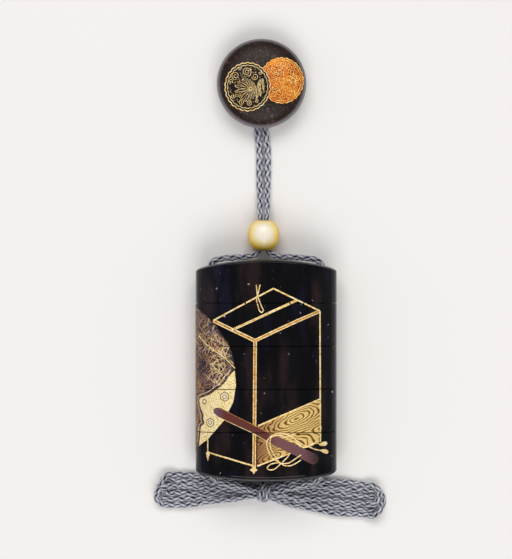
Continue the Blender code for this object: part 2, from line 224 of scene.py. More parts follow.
# How far out a point of the yarn lies sets its tone: painted shade in the dark gaps between yarns and a
# painted highlight on the pale crowns. Filaments run along each yarn, drawn coarser than silk's so that they
# show.
crown = add_node(silk, "Attribute", attribute_name="crown")
fibre = add_node(silk, "Attribute", attribute_name="fibre")
along_yarn = add_node(silk, "Mapping", {"Vector": fibre.outputs["Vector"], "Scale": (0.35, 5.0, 1.0)})
filaments = add_node(silk, "TexNoise", {"Vector": along_yarn, "Scale": 1.6, "Detail": 3.0})
shade = add_node(silk, "Math", {0: filaments, 1: 0.42, 2: crown.outputs["Fac"]}, operation="MULTIPLY_ADD")
painted_light_share = add_node(silk, "MapRange", {"Value": shade, "From Min": 0.75, "From Max": 1.25})
silk_and_painted_light_tones = [(0.2, "#0A0914"), (0.4, "#333443"), (0.58, "#868995"), (0.85, "#C4C6CE")]
add_node(silk, "ValToRGB", {"Fac": painted_light_share}, silk_and_painted_light_tones, to="Base Color")
add_node(silk, "Bump", {"Height": filaments, "Strength": 0.5, "Distance": 0.08 * MM}, to="Normal")
# The core is near-black: painted shade, a dark tube that darkens the gaps between the yarns.
shade_core_silk = finish_material("Dark core silk as painted shade", Base_Color="#12141F", Roughness=0.9)


def braid(name, points):
    """The braid along a route, as eight woven yarns round a core: its object, its line and its length."""
    line, length = smooth_line(points, braid_step)
    centre, share = line[:, :3], line[:, 3]
    across, upright = carried_frame(centre)
    run = np.linspace(0, length, len(line))
    turn = 2 * math.pi * run / braid_pitch
    places, crown_light, fibres, faces = [], [], [], []

    def add_tube(rings):
        """rings: one row of points for each place along the line."""
        start = sum(len(p) for p in places)
        count, sides = rings.shape[:2]
        corner = start + np.arange(count * sides).reshape(count, sides)
        beside = np.roll(corner, -1, axis=1)
        quads = np.stack([corner[:-1], beside[:-1], beside[1:], corner[1:]], axis=-1).reshape(-1, 4)
        faces.extend(quads.tolist())
        faces.append(corner[0][::-1].tolist())
        faces.append(corner[-1].tolist())
        places.append(rings.reshape(-1, 3))
        # How far out each point lies, from which the silk paints shade in the gaps and a highlight on the
        # crowns
        reach = np.linalg.norm(rings - centre[:, None], axis=2) / (cord_diameter / 2 * share[:, None])
        crown_light.append(reach.reshape(-1))
        return len(quads) + 2

    angles = 2 * math.pi * np.arange(yarn_sides) / yarn_sides
    yarn_faces = 0
    for yarn in range(2 * yarns_each_way):
        way = 1 if yarn % 2 else -1
        stray_turn = 2 * math.pi * run / (stray_length * (1 + stray_growth * yarn))
        stray = yarn_stray * np.sin(stray_turn + stray_shift * yarn)
        angle = way * turn + 2 * math.pi * (yarn // 2) / yarns_each_way + stray
        outward = np.cos(angle)[:, None] * across + np.sin(angle)[:, None] * upright
        radius = share * (braid_radius + way * braid_weave * np.cos(yarns_each_way * turn))
        path = centre + radius[:, None] * outward
        sideways = unit(np.cross(unit(np.gradient(path, axis=0)), outward))
        wide = yarn_half_width * share[:, None, None] * np.cos(angles)[None, :, None]
        thick = yarn_half_thickness * share[:, None, None] * np.sin(angles)[None, :, None]
        rings = path[:, None] + wide * sideways[:, None] + thick * outward[:, None]
        yarn_faces += add_tube(rings)
        fibre_along = np.repeat(run / MM, yarn_sides)
        fibre_across = np.tile(np.cos(angles), len(run))
        own_pattern = np.full(len(fibre_along), filament_shift * yarn)
        fibres.append(np.stack([fibre_along, fibre_across, own_pattern], axis=1))
    ring = np.cos(angles)[None, :, None] * across[:, None] + np.sin(angles)[None, :, None] * upright[:, None]
    core_faces = add_tube(centre[:, None] + core_radius * share[:, None, None] * ring)
    fibres.append(np.zeros((len(run) * yarn_sides, 3)))

    mesh = bpy.data.meshes.new(name)
    mesh.from_pydata(np.vstack(places).tolist(), [], faces)
    mesh.attributes.new("crown", "FLOAT", "POINT").data.foreach_set("value", np.concatenate(crown_light))
    fibre_rows = mesh.attributes.new("fibre", "FLOAT_VECTOR", "POINT").data
    fibre_rows.foreach_set("vector", np.vstack(fibres).reshape(-1))
    mesh.materials.append(silk)
    mesh.materials.append(shade_core_silk)
    mesh.polygons.foreach_set("material_index", [0] * yarn_faces + [1] * core_faces)
    mesh.polygons.foreach_set("use_smooth", [True] * len(mesh.polygons))
    mesh.update()
    piece = bpy.data.objects.new(name, mesh)
    bpy.context.scene.collection.objects.link(piece)
    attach(piece, "root")
    every_fourth = [tuple(row) for row in (*centre[:-3:4], centre[-1])]
    return piece, every_fourth, length


# One side of the cord, in millimetres: how far out to its own side, how far along, how high, and its
# thickness as a share. Each stretch is measured from the piece it names.
netsuke_middle = (-1.8 * MM, 112.85 * MM, 0.0)
bead_middle = (-1.0 * MM, 52.75 * MM, 6.25 * MM)
between_middle = (-1.0 * MM, 90.05 * MM, 0.0)
case_top = 43.3 * MM
case_bottom = -43.3 * MM
case_axis_height = 11.45 * MM
channel_x = 22.05 * MM
knot_middle = (-0.5 * MM, -48.6 * MM, 0.0)
route_at_netsuke = (
    (0.35, 2.3, 5.2, 1.0), (1.5, 2.2, 5.2, 1.0), (3.3, 1.3, 5.2, 1.0), (4.8, -0.5, 5.15, 1.0),
    (5.3, -3.0, 5.0, 1.0), (4.9, -6.2, 4.5, 1.0), (3.7, -9.2, 3.6, 1.0), (2.3, -12.2, 2.45, 1.0),
    (1.55, -15.4, 1.7, 1.0), (1.55, -19.3, 1.65, 1.15),
)
route_between = (
    (1.56, -3.9, 1.65, 1.18), (1.56, -11.4, 1.65, 1.18), (1.5, -17.7, 1.75, 1.12),
    (1.42, -21.7, 2.65, 1.0),
)
route_at_bead = (
    (1.4, 12.1, -1.9, 1.0), (1.35, 8.9, -0.5, 0.92), (1.12, 6.1, -0.05, 0.74), (1.05, 3.6, 0.0, 0.68),
    (1.05, -0.4, 0.0, 0.68), (1.08, -3.4, 0.0, 0.7), (1.3, -5.3, 0.05, 0.72), (2.15, -6.6, 0.25, 0.84),
    (3.7, -7.6, 0.65, 0.96), (6.0, -8.3, 1.4, 1.0),
)
route_at_lid = (
    (-12.0, 0.9, -2.4, 1.0), (-8.0, 0.65, -1.1, 1.0), (-4.6, 0.3, -0.4, 1.0), (-2.3, -0.2, -0.1, 1.0),
    (-0.7, -1.3, 0.0, 1.0), (0.0, -3.2, 0.0, 1.0), (0.0, -6.2, 0.0, 1.0), (0.0, -10.0, 0.0, 1.0),
)
route_at_base = (
    (0.0, 10.0, 0.0, 1.0), (0.0, 6.2, 0.0, 1.0), (-0.25, 3.1, 0.0, 1.0), (-1.15, 0.8, -0.05, 1.0),
    (-2.8, -0.8, -0.15, 1.0), (-5.2, -1.6, -0.25, 1.0), (-9.0, -2.4, -0.55, 1.0),
    (-13.5, -3.6, -1.2, 1.0),
)
route_at_knot = ((5.6, 0.8, 9.75, 0.95), (3.4, 0.6, 9.6, 0.9))
for side, label in ((-1, "left"), (1, "right")):
    stretches = (
        (netsuke_middle, route_at_netsuke),
        (between_middle, route_between),
        (bead_middle, route_at_bead),
        ((side * channel_x, case_top, case_axis_height), route_at_lid),
        ((side * channel_x, case_bottom, case_axis_height), route_at_base),
        (knot_middle, route_at_knot),
    )
    route = [
        (x + side * out * MM, y + along * MM, z + up * MM, share)
        for (x, y, z), stretch in stretches
        for out, along, up, share in stretch
    ]
    piece, path, length = braid(f"silk_cord_{label}", route)
    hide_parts(f"cord_{label}")

# Bow
# The spare cord is folded into three loops to each side and bound at the middle by its own end, which passes
# over them twice. The loops are stacked at the knot and spread out to lie abreast on the table, and where one
# loop's end crosses another it rides over it.
bow_lift = 0.1
strand = cord_diameter / MM
table_level = strand / 2 + bow_lift
layer_rise = 2.5
knot_half_length = 3.1
# No loop turns tighter than this at its end, and one that rides over another does so within this reach.
end_radius = 3.75
ride_reach = 8.0
strand_stations = (2.0, 4.5, 8.0, 12.5, 17.5, 22.5, 27.5, 31.0, 34.0, 36.5, 39.0, 41.5)
strand_sway = 0.25
# Each side is swung by its turn, in degrees. Each loop has its middle across the bundle, how far its end
# stays back from the bundle's, its layer at the knot, and where and how high it rides over another, in
# layers. Lengths are in millimetres.
bow_sides = {
    "right": {
        "turn": -5.2,
        "reach": 48.6,
        "neck": 7.8,
        "width": 14.6,
        "swell": 1.5,
        "loops": (
            {"middle": 2.32, "short": 1.9, "layer": 2, "over": ((44.7, 3.5, 1.15), (44.5, 0.6, 1.7))},
            {"middle": 0.0, "short": 0.0, "layer": 1, "over": ()},
            {"middle": -2.32, "short": 1.0, "layer": 0, "over": ((45.9, -2.8, 1.15),)},
        ),
    },
    "left": {
        "turn": 179.3,
        "reach": 44.2,
        "neck": 4.6,
        "width": 14.8,
        "swell": 0.92,
        "loops": (
            {"middle": 2.32, "short": 0.0, "layer": 2, "over": ((42.0, 0.0, 1.15), (40.8, -1.0, 1.7))},
            {"middle": 0.0, "short": 0.9, "layer": 1, "over": ()},
            {"middle": -2.32, "short": 2.0, "layer": 0, "over": ((41.0, -2.6, 1.15),)},
        ),
    },
}


def bow_loop(side, loop):
    """One loop's points, out from the knot, round its end and back, in metres."""
    full = (side["width"] - strand) / 2
    bend = side["reach"] - strand / 2 - loop["short"] - end_radius

    def spread(x):
        """How much of its full width the bundle has, x millimetres from the knot."""
        straight = side["reach"] - side["width"] / 2
        share = min(max((x - knot_half_length) / (straight - knot_half_length), 0) * side["swell"], 1)
        half = (side["neck"] + (side["width"] - side["neck"]) * math.sin(share * math.pi / 2)) / 2
        return min((half - strand / 2) / full, 1)

    def height(x, y):
        level = table_level + loop["layer"] * layer_rise * min((1 - spread(x)) * 1.2, 1)
        for over_x, over_y, layers in loop["over"]:
            near = max(1 - math.dist((over_x, over_y), (x, y)) / ride_reach, 0)
            level = max(level, table_level + layer_rise * near * near * (3 - 2 * near) * layers)
        return level

    def strand_points(way):
        points = []
        for x in strand_stations:
            if x < bend - 0.8:
                across = loop["middle"] * spread(x) + way * max(end_radius * spread(x), strand / 2)
                points.append((x, across + strand_sway * math.sin(0.31 * x + 2.1 * way + loop["middle"])))
        return points

    turn = [
        (bend + end_radius * math.sin(a), loop["middle"] + end_radius * math.cos(a))
        for a in (math.pi * i / 8 for i in range(9))
    ]
    swing = math.radians(side["turn"])
    return [
        (
            knot_middle[0] + (x * math.cos(swing) - y * math.sin(swing)) * MM,
            knot_middle[1] + (x * math.sin(swing) + y * math.cos(swing)) * MM,
            height(x, y) * MM,
            1.0,
        )
        for x, y in strand_points(1) + turn + strand_points(-1)[::-1]
    ]


route = [
    point for i in range(3) for side in bow_sides.values() for point in bow_loop(side, side["loops"][i])
]
bow, bow_path, bow_length = braid("silk_bow", route)

# The binding: a turn and a quarter round the loops' middle, whose two passes lie side by side on top, and the
# short end tucked under it, which stands out below
binding_half_width = 2.9
binding_half_height = 4.6
binding_level = 5.7
pass_apart = 0.92
turn_points = 16
route = [
    (
        knot_middle[0] + (-strand / 2 + strand * i / turn_points * pass_apart) * MM,
        knot_middle[1] + binding_half_width * math.sin(2 * math.pi * i / turn_points) * MM,
        (binding_level + binding_half_height * math.cos(2 * math.pi * i / turn_points)) * MM,
        1.0,
    )
    for i in range(-2, 19)
]
binding = braid("silk_binding", route)[0]
tucked_route = (
    (-2.6, -0.6, 6.6, 0.8), (-2.3, -1.9, 7.0, 1.05), (-0.9, -2.9, 6.9, 1.2), (0.7, -2.3, 6.9, 1.05),
    (1.4, -0.9, 6.6, 0.8),
)
route = [(knot_middle[0] + x * MM, knot_middle[1] + y * MM, z * MM, share) for x, y, z, share in tucked_route]
tucked_end = braid("silk_tucked_end", route)[0]
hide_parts("bow_knot")
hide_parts("bow_left", "bow_right")

# Case
# Five lacquered boxes of squared oval section that stack into one: a lid, three trays and a base. Each is
# built of thin wood under many coats of black urushi, polished, with a riser inside every joint.
case_half_width = 27.75 * MM
case_half_depth = 11.75 * MM
case_squareness = 2.6
joint_gap = 0.1 * MM
joint_round = 0.17 * MM
joints = (26.2 * MM, 9.4 * MM, -7.4 * MM, -24.2 * MM)
inside_half_width = 18.1 * MM
inside_half_depth = 8.95 * MM
inside_squareness = 4.0
riser_wall = 1.0 * MM
riser_height = 4.0 * MM
socket_grow = 1.3 * MM
socket_depth = 4.3 * MM
floor_thickness = 1.4 * MM
end_thickness = 1.7 * MM
roll_width = 3.6 * MM
roll_shares = (0.0, 0.012, 0.05, 0.11, 0.19, 0.3, 0.43, 0.6, 0.8, 1.0)
lid_end = {"tip": case_top, "out": 1, "crown": 3.6 * MM, "roll": 1.2 * MM}
base_end = {"tip": case_bottom, "out": -1, "crown": 2.3 * MM, "roll": 1.9 * MM}
ring_points = 192
hole_points = 48


def squared(angle, half_x, half_z, power):
    """Places on a squared oval, at angles round it."""
    cos, sin = np.cos(angle), np.sin(angle)
    return half_x * np.sign(cos) * abs(cos) ** (2 / power), half_z * np.sign(sin) * abs(sin) ** (2 / power)


def squared_ring(half_x, half_z, power, y):
    """A squared oval round the case's axis, flat where it would pass below the table."""
    x, z = squared(2 * math.pi * np.arange(ring_points) / ring_points, half_x, half_z, power)
    return np.stack([x, np.full(ring_points, y), np.maximum(case_axis_height + z, 0.0)], axis=1)


def outer_ring(y, inset=0.0):
    return squared_ring(case_half_width - inset, case_half_depth - inset, case_squareness, y)


def inner_ring(y, grow=0.0):
    return squared_ring(inside_half_width + grow, inside_half_depth + grow, inside_squareness, y)


def domed_rings(end):
    """Rings from the wall over the rolled edge to the middle of a domed end."""
    rim = outer_ring(end["tip"])
    over_roll = [(share * roll_width, 1.0) for share in roll_shares]
    to_middle = [(roll_width, scale) for scale in (0.75, 0.5, 0.25, 0.02)]
    rings = []
    for reach, scale in over_roll + to_middle:
        x = rim[:, 0] * (1 - reach / case_half_width) * scale
        z = case_axis_height + (rim[:, 2] - case_axis_height) * (1 - reach / case_half_depth) * scale
        steep = 1 - reach / roll_width
        drop = end["crown"] * (x / case_half_width) ** 2 + end["roll"] * (1 - math.sqrt(1 - steep * steep))
        rings.append(np.stack([x, end["tip"] - end["out"] * drop, z], axis=1))
    return rings


def ringed(name, rings, bored=False):
    """A closed body: a circle set to the first ring and extruded from ring to ring. Both ends are filled, or
    joined to each other where the body is bored right through."""
    deselect()
    count = len(rings[0])
    bpy.ops.mesh.primitive_circle_add(vertices=count, radius=1.0, location=(0, 0, 0))
    body = bpy.context.object
    body.name = body.data.name = name
    bpy.ops.object.mode_set(mode="EDIT")
    bpy.ops.mesh.select_all(action="SELECT")
    mesh = bmesh.from_edit_mesh(body.data)
    order = mesh.verts.layers.int.new("order")
    for i, vert in enumerate(mesh.verts):
        vert[order] = i
    for i, ring in enumerate(rings):
        if i:
            bpy.ops.mesh.extrude_edges_move()
        mesh = bmesh.from_edit_mesh(body.data)
        order = mesh.verts.layers.int["order"]
        for vert in mesh.verts:
            if vert.select:
                vert.co = ring[vert[order]]
    bmesh.update_edit_mesh(body.data)
    bpy.ops.mesh.select_all(action="DESELECT")
    bpy.ops.mesh.select_non_manifold()
    if bored:
        bpy.ops.mesh.bridge_edge_loops()
    else:
        bpy.ops.mesh.edge_face_add()
    bpy.ops.mesh.select_all(action="SELECT")
    bpy.ops.mesh.normals_make_consistent(inside=False)
    bpy.ops.object.mode_set(mode="OBJECT")
    body.data.attributes.remove(body.data.attributes["order"])
    return body


def cut_away(body, cutter):
    """Cuts one object out of another and removes the cutter."""
    select_only(body)
    cut = body.modifiers.new("Cut", "BOOLEAN")
    cut.operation = "DIFFERENCE"
    cut.solver = "EXACT"
    cut.object = cutter
    bpy.ops.object.modifier_apply(modifier=cut.name)
    bpy.data.objects.remove(cutter)


def drill(body, x, low, high, low_radius, high_radius):
    """A round hole through a body, along the case."""
    deselect()
    bpy.ops.mesh.primitive_cone_add(
        vertices=hole_points,
        radius1=low_radius,
        radius2=high_radius,
        depth=high - low,
        location=(x, (low + high) / 2, case_axis_height),
        rotation=(-math.pi / 2, 0, 0),
    )
    cut_away(body, bpy.context.object)


def finished(body, node, material, angle=30):
    """Smooths a piece, gives it its material and puts it in place of its CAD node."""
    select_only(body)
    bpy.ops.object.shade_smooth_by_angle(angle=math.radians(angle))
    body.data.materials.clear()
    body.data.materials.append(material)
    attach(body, "root")
    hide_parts(node)


urushi = finish_material("Polished black urushi", Roughness=0.11, Specular_IOR_Level=0.18)
# Sparse flecks of pearly, red and green dust lie in the black ground, ragged and about half a millimetre
# across. Faint blue and brown streaks run along the case: a painted reflection of the surroundings in the
# polished black.
place = add_node(urushi, "TexCoord").outputs["Object"]
ragged = add_node(urushi, "TexNoise", {"Vector": place, "Scale": 2200.0}).outputs["Color"]
strayed = {0: ragged, 1: (1.3 * MM, 1.3 * MM, 1.3 * MM), 2: place}
ragged_place = add_node(urushi, "VectorMath", strayed, operation="MULTIPLY_ADD")
cells = add_node(urushi, "TexVoronoi", {"Vector": ragged_place, "Scale": 640.0}, feature="F1")
fleck_size = add_node(urushi, "Math", {0: cells.outputs["Distance"], 1: 0.22}, operation="LESS_THAN")
chance = add_node(urushi, "SeparateColor", {"Color": cells.outputs["Color"]})
chosen = add_node(urushi, "Math", {0: chance.outputs["Red"], 1: 0.925}, operation="GREATER_THAN")
fleck = add_node(urushi, "Math", {0: fleck_size, 1: chosen}, operation="MULTIPLY")
dust_tones = [(0.25, "#3A2026"), (0.5, "#3E4A42"), (0.75, "#665E66"), (0.95, "#B0AAAC")]
fleck_tone = add_node(urushi, "ValToRGB", {"Fac": chance.outputs["Green"]}, dust_tones)
# Painted reflection: soft blue and brown streaks drawn out along the case.
reflection_streaks = add_node(urushi, "Mapping", {"Vector": place, "Scale": (95.0, 28.0, 95.0)})
cloud = add_node(urushi, "TexNoise", {"Vector": reflection_streaks, "Scale": 1.0, "Detail": 5.0})
black_and_reflection_tones = [(0.34, "#121020"), (0.45, "#040306"), (0.53, "#0A080B"), (0.62, "#231718"), (0.72, "#191625")]
ground = add_node(urushi, "ValToRGB", {"Fac": cloud}, black_and_reflection_tones)
add_node(urushi, "Mix", {0: fleck, 6: ground, 7: fleck_tone}, to="Base Color", data_type="RGBA")

# The lid: its hollow, its rim at the joint, its wall and its domed top
lid_low = joints[0] + joint_gap / 2
socket_share = (inside_half_width + socket_grow) / case_half_width
lid_ceiling = case_top - lid_end["crown"] * socket_share**2 - end_thickness
lid = ringed(
    "lacquer_lid",
    [
        inner_ring(lid_ceiling, socket_grow),
        inner_ring(lid_low, socket_grow),
        outer_ring(lid_low, joint_round),
        outer_ring(lid_low + joint_round),
        *domed_rings(lid_end),
    ],
)
channel_radius = 1.65 * MM
mouth_radius = 2.7 * MM
mouth_depth = 5.0 * MM
past = 2.0 * MM
flared = mouth_radius + (mouth_radius - channel_radius) * past / mouth_depth
lid_mouth = case_top - lid_end["crown"] * (channel_x / case_half_width) ** 2
base_mouth = case_bottom + base_end["crown"] * (channel_x / case_half_width) ** 2
for side in (-1, 1):
    drill(lid, side * channel_x, lid_low - past, case_top + past, channel_radius, channel_radius)
    drill(lid, side * channel_x, lid_mouth - mouth_depth, lid_mouth + past, channel_radius, flared)
finished(lid, "lid", urushi)

# The three trays and the base: socket below, wall, riser above and the compartment
for i, label in enumerate(("tier_1", "tier_2", "tier_3", "base_tier")):
    top = joints[i] - joint_gap / 2
    if label == "base_tier":
        inside_share = inside_half_width / case_half_width
        floor_top = case_bottom + base_end["crown"] * inside_share**2 + end_thickness
        below = domed_rings(base_end)[::-1]
    else:
        low = joints[i + 1] + joint_gap / 2
        floor_top = low + socket_depth + floor_thickness
        below = [
            inner_ring(low + socket_depth, socket_grow),
            inner_ring(low, socket_grow),
            outer_ring(low, joint_round),
            outer_ring(low + joint_round),
        ]
    tray = ringed(
        f"lacquer_{label}",
        [
            *below,
            outer_ring(top - joint_round),
            outer_ring(top, joint_round),
            inner_ring(top, riser_wall),
            inner_ring(top + riser_height - joint_round, riser_wall),
            inner_ring(top + riser_height, riser_wall - joint_round),
            inner_ring(top + riser_height),
            inner_ring(floor_top),
        ],
    )
    for side in (-1, 1):
        drill(tray, side * channel_x, case_bottom - past, top + past, channel_radius, channel_radius)
        if label == "base_tier":
            drill(tray, side * channel_x, base_mouth - past, base_mouth + mouth_depth, flared, channel_radius)
    finished(tray, label, urushi)

# Netsuke
# The toggle at the cord's upper end: a turned round bun of wood, flat at its foot, in the same lacquer but
# browner and less polished. The cord passes through a tunnel in its back.
netsuke_radius = 17.7 * MM
netsuke_rim = 7.0 * MM
netsuke_height = 14.2 * MM
netsuke_foot = 6.0 * MM
face_squareness = 2.7
back_squareness = 2.2
tunnel_radius = 1.65 * MM
tunnel_step = 0.8 * MM
turned_points = 128
pole = 0.02 * MM


def turned_ring(middle, radius, along, axis):
    """A circle about the axis "Y" or "Z" through middle, that far along it."""
    angle = 2 * math.pi * np.arange(turned_points) / turned_points
    one, two = radius * np.cos(angle), radius * np.sin(angle)
    level = np.full(turned_points, along)
    offsets = (one, level, two) if axis == "Y" else (one, two, level)
    return np.stack(offsets, axis=1) + np.array(middle)


def quarter(half_x, half_z, power, start, end, count):
    """Points of a squared ellipse's arc between two angles."""
    return [
        (half_x * math.cos(a) ** (2 / power), math.copysign(half_z * abs(math.sin(a)) ** (2 / power), a))
        for a in np.linspace(start, end, count)
    ]


rise = netsuke_height - netsuke_rim
face_profile = [(r, netsuke_rim + z) for r, z in quarter(netsuke_radius, rise, face_squareness, 1.5, 0.0, 28)]
back_profile = [
    (netsuke_foot + r, netsuke_rim - z)
    for r, z in quarter(netsuke_radius - netsuke_foot, netsuke_rim, back_squareness, 0.05, 1.5707, 16)
]
netsuke_profile = [(pole, netsuke_height)] + face_profile + back_profile + [(pole, 0.0)]
netsuke = ringed(
    "lacquer_netsuke",
    [turned_ring((netsuke_middle[0], netsuke_middle[1], 0), r, z, "Z") for r, z in netsuke_profile],
)
tunnel_route = [
    (netsuke_middle[0] + side * out * MM, netsuke_middle[1] + along * MM, up * MM, 1.0)
    for side, points in ((-1, route_at_netsuke[8::-1]), (1, route_at_netsuke[:9]))
    for out, along, up, share in points
]
tunnel_line = smooth_line(tunnel_route, tunnel_step)[0]
curve = bpy.data.curves.new("tunnel", "CURVE")
curve.dimensions = "3D"
curve.bevel_depth = tunnel_radius
curve.bevel_resolution = 4
curve.use_fill_caps = True
spline = curve.splines.new("POLY")
spline.points.add(len(tunnel_line) - 1)
for spot, row in zip(spline.points, tunnel_line):
    spot.co = (*row[:3], 1.0)
tunnel = bpy.data.objects.new("tunnel", curve)
bpy.context.scene.collection.objects.link(tunnel)
select_only(tunnel)
bpy.ops.object.convert(target="MESH")
cut_away(netsuke, tunnel)
brown_urushi = finish_material("Worn brown-black urushi with painted reflection", Roughness=0.4, Specular_IOR_Level=0.2)
# Handling has worn the black thin: brown and red undercoats and a greenish bloom show in small patches. A
# grey line runs round its shoulder: a painted reflection of the bright table on the rounded edge, with a
# little wear.
place = add_node(brown_urushi, "TexCoord").outputs["Object"]
wear = add_node(brown_urushi, "TexNoise", {"Vector": place, "Scale": 620.0, "Detail": 8.0})
worn_tones = [(0.3, "#3A3A30"), (0.42, "#241A14"), (0.52, "#1D130F"), (0.61, "#40251D"), (0.72, "#5A4A42")]
ground = add_node(brown_urushi, "ValToRGB", {"Fac": wear}, worn_tones)
# Painted reflection: the ring of the shoulder above the rim is lightened to grey.
flattened = {"Location": (-netsuke_middle[0], -netsuke_middle[1], 0.0), "Scale": (1.0, 1.0, 0.0)}
from_axis = add_node(brown_urushi, "Mapping", {"Vector": place, **flattened})
reach = add_node(brown_urushi, "VectorMath", {0: from_axis}, operation="LENGTH")
reflecting_shoulder_span = {"From Min": 0.91 * netsuke_radius, "From Max": 0.98 * netsuke_radius, "To Max": 0.85}
reflecting_shoulder = add_node(brown_urushi, "MapRange", {"Value": reach, **reflecting_shoulder_span})
height = add_node(brown_urushi, "SeparateXYZ", {"Vector": place}).outputs["Z"]
height_span = {"From Min": 0.6 * netsuke_rim, "From Max": 1.15 * netsuke_rim}
reflection_height = add_node(brown_urushi, "MapRange", {"Value": height, **height_span})
shoulder_reflection = add_node(brown_urushi, "Math", {0: reflecting_shoulder, 1: reflection_height}, operation="MULTIPLY")
wear_and_reflection = {0: shoulder_reflection, 6: ground, 7: colour("#88848A")}
add_node(brown_urushi, "Mix", wear_and_reflection, to="Base Color", data_type="RGBA")
finished(netsuke, "netsuke", brown_urushi)

# Bead
# The ojime that slides on the two strands and keeps the boxes shut: a barrel of cream-coloured stone,
# polished, bored along the cord, with rounded mouths.
bead_half = 6.25 * MM
bead_half_length = 6.55 * MM
bead_squareness = 2.35
bead_mouth = 3.2 * MM
mouth_rounding = 0.7 * MM
mouth_angle = math.acos((bead_mouth / bead_half) ** (bead_squareness / 2))
barrel = quarter(bead_half, bead_half_length, bead_squareness, -mouth_angle, mouth_angle, 40)
mouth_level = barrel[-1][1]
lip = [
    (bead_mouth - mouth_rounding * math.sin(a), mouth_level - mouth_rounding * (1 - math.cos(a)))
    for a in (math.pi / 2 * i / 5 for i in range(1, 6))
]
bead_profile = [(r, -y) for r, y in lip[::-1]] + barrel + lip
bead = ringed("stone_bead", [turned_ring(bead_middle, r, y, "Y") for r, y in bead_profile], bored=True)
milky = finish_material(
    "Polished cream agate",
    Roughness=0.28,
    Subsurface_Weight=0.25,
    Subsurface_Radius=(0.003, 0.002, 0.001),
    Subsurface_Scale=1.0,
)
# The stone is painted milky at its top and honey-yellow away from it, in soft clouds: painted light, standing
# in for the glow of the lit translucent stone.
place = add_node(milky, "TexCoord").outputs["Object"]
bead_light_point = (bead_middle[0], bead_middle[1] + 1.2 * MM, 2 * bead_half)
from_light_point = add_node(milky, "VectorMath", {0: place, 1: bead_light_point}, operation="DISTANCE")
cloud = add_node(milky, "TexNoise", {"Vector": place, "Scale": 240.0, "Detail": 3.0})
cloudy = add_node(milky, "Math", {0: cloud, 1: 2.4 * MM, 2: from_light_point}, operation="MULTIPLY_ADD")
depth = add_node(milky, "MapRange", {"Value": cloudy, "From Min": 1.0 * MM, "From Max": 11.0 * MM})
stone_and_light_tones = [(0.3, "#FFF4E2"), (0.5, "#FFEAA8"), (0.66, "#FFDA58"), (0.95, "#DDB040")]
add_node(milky, "ValToRGB", {"Fac": depth}, stone_and_light_tones, to="Base Color")
finished(bead, "ojime_bead", milky, angle=50)

# Picture
# A tall box frame, an open fan and a stick with a looped cord, laid on the polished wall in gold powder and
# coloured lacquer, a tenth of a millimetre proud. It was cut through at the joints with the boxes. Places are
# given in millimetres round the wall from the middle of its front, and along the case.
picture_cut = 0.3 * MM
line_step = 0.5
strip_width = 0.7
# A brushed line's section, in shares of half its width and of its height
ridge = ((-1.0, -0.06), (-0.95, 0.6), (-0.45, 1.0), (0.45, 1.0), (0.95, 0.6), (1.0, -0.06))
dense_angle = np.linspace(-math.pi / 2, 1.5 * math.pi, 4001)
wall_x, wall_z = squared(dense_angle, case_half_width, case_half_depth, case_squareness)
wall_run = np.concatenate([[0], np.cumsum(np.hypot(np.diff(wall_x), np.diff(wall_z)))])
wall_run = wall_run - wall_run[len(wall_run) // 2]
wall_out = np.stack([np.gradient(wall_z), -np.gradient(wall_x)], axis=1)
wall_out /= np.linalg.norm(wall_out, axis=1, keepdims=True)


def on_wall(rows):
    """Flat rows of round, along and height, in millimetres, laid on the case's wall."""
    round_, along, height = (np.array(rows, float) * MM).T
    x, z, out_x, out_z = (np.interp(-round_, wall_run, column) for column in (wall_x, wall_z, *wall_out.T))
    return np.stack([x + out_x * height, along, case_axis_height + z + out_z * height], axis=1)


def between_joints(points):
    """A flat line's points at even steps, broken where it crosses a joint."""
    points = np.array(points, float)
    steps = []
    for a, b in zip(points, points[1:]):
        count = max(int(np.linalg.norm(b - a) / line_step), 1)
        steps.extend(a + (b - a) * i / count for i in range(count))
    steps.append(points[-1])
    runs, run = [], [steps[0]]
    for a, b in zip(steps, steps[1:]):
        crossed = [j / MM for j in joints if (a[1] - j / MM) * (b[1] - j / MM) < 0]
        if crossed:
            share = (crossed[0] - a[1]) / (b[1] - a[1])
            half = picture_cut / MM / 2 / abs(b[1] - a[1])
            if share - half > 0:
                run.append(a + (b - a) * (share - half))
            runs.append(run)
            run = [a + (b - a) * min(share + half, 0.999)]
        run.append(b)
    runs.append(run)
    return [np.array(r) for r in runs if len(r) > 1]


class Brushwork:
    """Brushed lines gathered into one mesh. Each is a low rounded ridge of its width and height."""

    def __init__(self, place=on_wall, split=between_joints):
        self.place, self.split = place, split
        self.rows, self.faces = [], []

    def line(self, points, width, base=0.0, height=0.1):
        for run in self.split(points):
            step = np.gradient(run, axis=0)
            step /= np.maximum(np.linalg.norm(step, axis=1, keepdims=True), 1e-9)
            side = np.stack([-step[:, 1], step[:, 0]], axis=1) * width / 2
            first, count = len(self.rows), len(ridge)
            for middle, across in zip(run, side):
                self.rows.extend((*(middle + across * s), base + height * h) for s, h in ridge)
            for i in range(len(run) - 1):
                a = first + i * count
                for j in range(count):
                    k = (j + 1) % count
                    self.faces.append((a + j, a + k, a + count + k, a + count + j))
            last = first + (len(run) - 1) * count
            self.faces.append(tuple(range(first, first + count))[::-1])
            self.faces.append(tuple(range(last, last + count)))
        return self

    def finish(self, name, material):
        mesh = bpy.data.meshes.new(name)
        mesh.from_pydata(self.place(self.rows).tolist(), [], self.faces)
        laid_piece(name, mesh, material)


def laid_piece(name, mesh, material):
    piece = bpy.data.objects.new(name, mesh)
    bpy.context.scene.collection.objects.link(piece)
    select_only(piece)
    bpy.ops.object.mode_set(mode="EDIT")
    bpy.ops.mesh.select_all(action="SELECT")
    bpy.ops.mesh.normals_make_consistent(inside=False)
    bpy.ops.object.mode_set(mode="OBJECT")
    bpy.ops.object.shade_smooth_by_angle(angle=math.radians(50))
    mesh.materials.append(material)
    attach(piece, "root")


